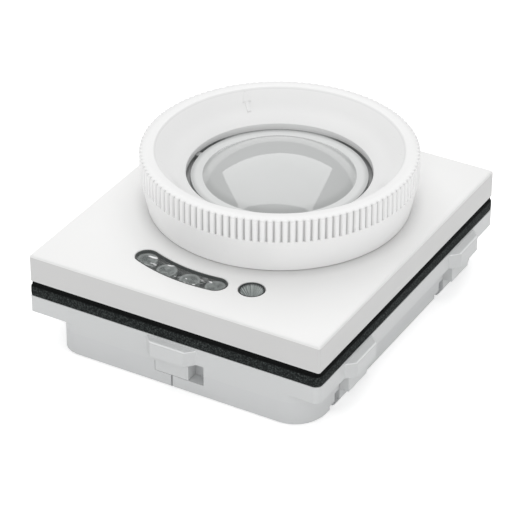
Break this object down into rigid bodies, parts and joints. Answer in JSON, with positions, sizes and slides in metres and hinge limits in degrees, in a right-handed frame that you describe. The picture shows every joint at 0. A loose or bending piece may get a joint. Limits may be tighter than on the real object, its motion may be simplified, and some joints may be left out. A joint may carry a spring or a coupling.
{
  "type": "occupancy sensor insert",
  "caption": "Rectangular occupancy sensor insert with a turning knurled lens ring, a slot of adjusters, a foam gasket, snap blocks and screwless wire entries behind.",
  "frame": {"origin": "centre of the flat rear face, on its outer surface", "axes": "+Z out of the device's face, +Y towards its top edge, +X towards its right edge"},
  "size_m": [0.0688, 0.0788, 0.0329],
  "materials": {
    "white_shell": "fine satin",
    "ring_white": "fine satin",
    "inner_white": "matt",
    "frame_plastic": "fine satin",
    "cover_plastic": "fine satin",
    "black_foam": "open cell foam",
    "milky_lens": "glossy, translucent",
    "clear_window": "clear",
    "clear_guide": "fluted",
    "screw_steel": "zinc plated",
    "board_green": "solder mask",
    "black_plastic": "matt",
    "can_steel": "plain",
    "dark_glass": "dark",
    "tinned_leads": "tinned",
    "trimmer_case": "matt",
    "trimmer_rotor": "matt",
    "led_lens": "tinted",
    "relay_case": "satin",
    "film_case": "glossy",
    "can_sleeve": "sleeved",
    "varistor_coat": "glossy",
    "fuse_glass": "clear",
    "pin_brass": "plain",
    "spring_steel": "plain",
    "terminal_grey": "matt",
    "key_plastic": "satin"
  },
  "bodies": {
    "base": {"front_plate": "white_shell", "adjuster_window": "clear_window", "light_guide": "clear_guide", "foam_gasket": "black_foam", "mounting_frame": "frame_plastic", "rear_cover": "cover_plastic", "plate_screws": "screw_steel", "sensor_board": "board_green", "sensor_holder": "black_plastic", "motion_sensor_can": "can_steel", "motion_sensor_window": "dark_glass", "motion_sensor_leads": "tinned_leads", "trimmer_cases": "trimmer_case", "control_chip": "black_plastic", "status_led": "led_lens", "light_cell": "dark_glass", "power_board": "board_green", "relay": "relay_case", "film_capacitor": "film_case", "supply_capacitor": "can_sleeve", "choke": "black_plastic", "varistor": "varistor_coat", "fuse": "fuse_glass", "bridge_rectifier": "black_plastic", "board_header": "black_plastic", "header_pins": "pin_brass", "terminal_block": "terminal_grey", "terminal_lid": "terminal_grey", "clamp_springs": "spring_steel", "contact_bars": "pin_brass"},
    "head": {"knurled_ring": "ring_white", "fresnel_lens": "milky_lens", "lens_clips": "inner_white", "head_keepers": "inner_white"},
    "adjuster_1": {"trimmer_rotor_1": "trimmer_rotor"},
    "adjuster_2": {"trimmer_rotor_2": "trimmer_rotor"},
    "adjuster_3": {"trimmer_rotor_3": "trimmer_rotor"},
    "adjuster_4": {"trimmer_rotor_4": "trimmer_rotor"},
    "key_1": {"release_key_1": "key_plastic"},
    "key_2": {"release_key_2": "key_plastic"},
    "key_3": {"release_key_3": "key_plastic"},
    "key_4": {"release_key_4": "key_plastic"}
  },
  "joints": [
    {"name": "ring_turn", "type": "hinge", "parent": "base", "child": "head", "pos_m": [0, 0.005, 0.0205], "axis": [0, 0, 1], "range_deg": [-136.5, 43.5]},
    {"name": "adjuster_1_turn", "type": "hinge", "parent": "base", "child": "adjuster_1", "pos_m": [-0.01211, -0.02623, 0.018], "axis": [0, 0, 1], "range_deg": [-135, 135]},
    {"name": "adjuster_2_turn", "type": "hinge", "parent": "base", "child": "adjuster_2", "pos_m": [-0.00672, -0.02782, 0.018], "axis": [0, 0, 1], "range_deg": [-135, 135]},
    {"name": "adjuster_3_turn", "type": "hinge", "parent": "base", "child": "adjuster_3", "pos_m": [-0.00113, -0.02848, 0.018], "axis": [0, 0, 1], "range_deg": [-135, 135]},
    {"name": "adjuster_4_turn", "type": "hinge", "parent": "base", "child": "adjuster_4", "pos_m": [0.00449, -0.0282, 0.018], "axis": [0, 0, 1], "range_deg": [-135, 135]},
    {"name": "key_1_press", "type": "slide", "parent": "base", "child": "key_1", "axis": [0, 0, 1], "range_m": [0, 0.0015], "stiffness_N_per_m": 400, "springref_m": -0.001},
    {"name": "key_2_press", "type": "slide", "parent": "base", "child": "key_2", "axis": [0, 0, 1], "range_m": [0, 0.0015], "stiffness_N_per_m": 400, "springref_m": -0.001},
    {"name": "key_3_press", "type": "slide", "parent": "base", "child": "key_3", "axis": [0, 0, 1], "range_m": [0, 0.0015], "stiffness_N_per_m": 400, "springref_m": -0.001},
    {"name": "key_4_press", "type": "slide", "parent": "base", "child": "key_4", "axis": [0, 0, 1], "range_m": [0, 0.0015], "stiffness_N_per_m": 400, "springref_m": -0.001}
  ]
}
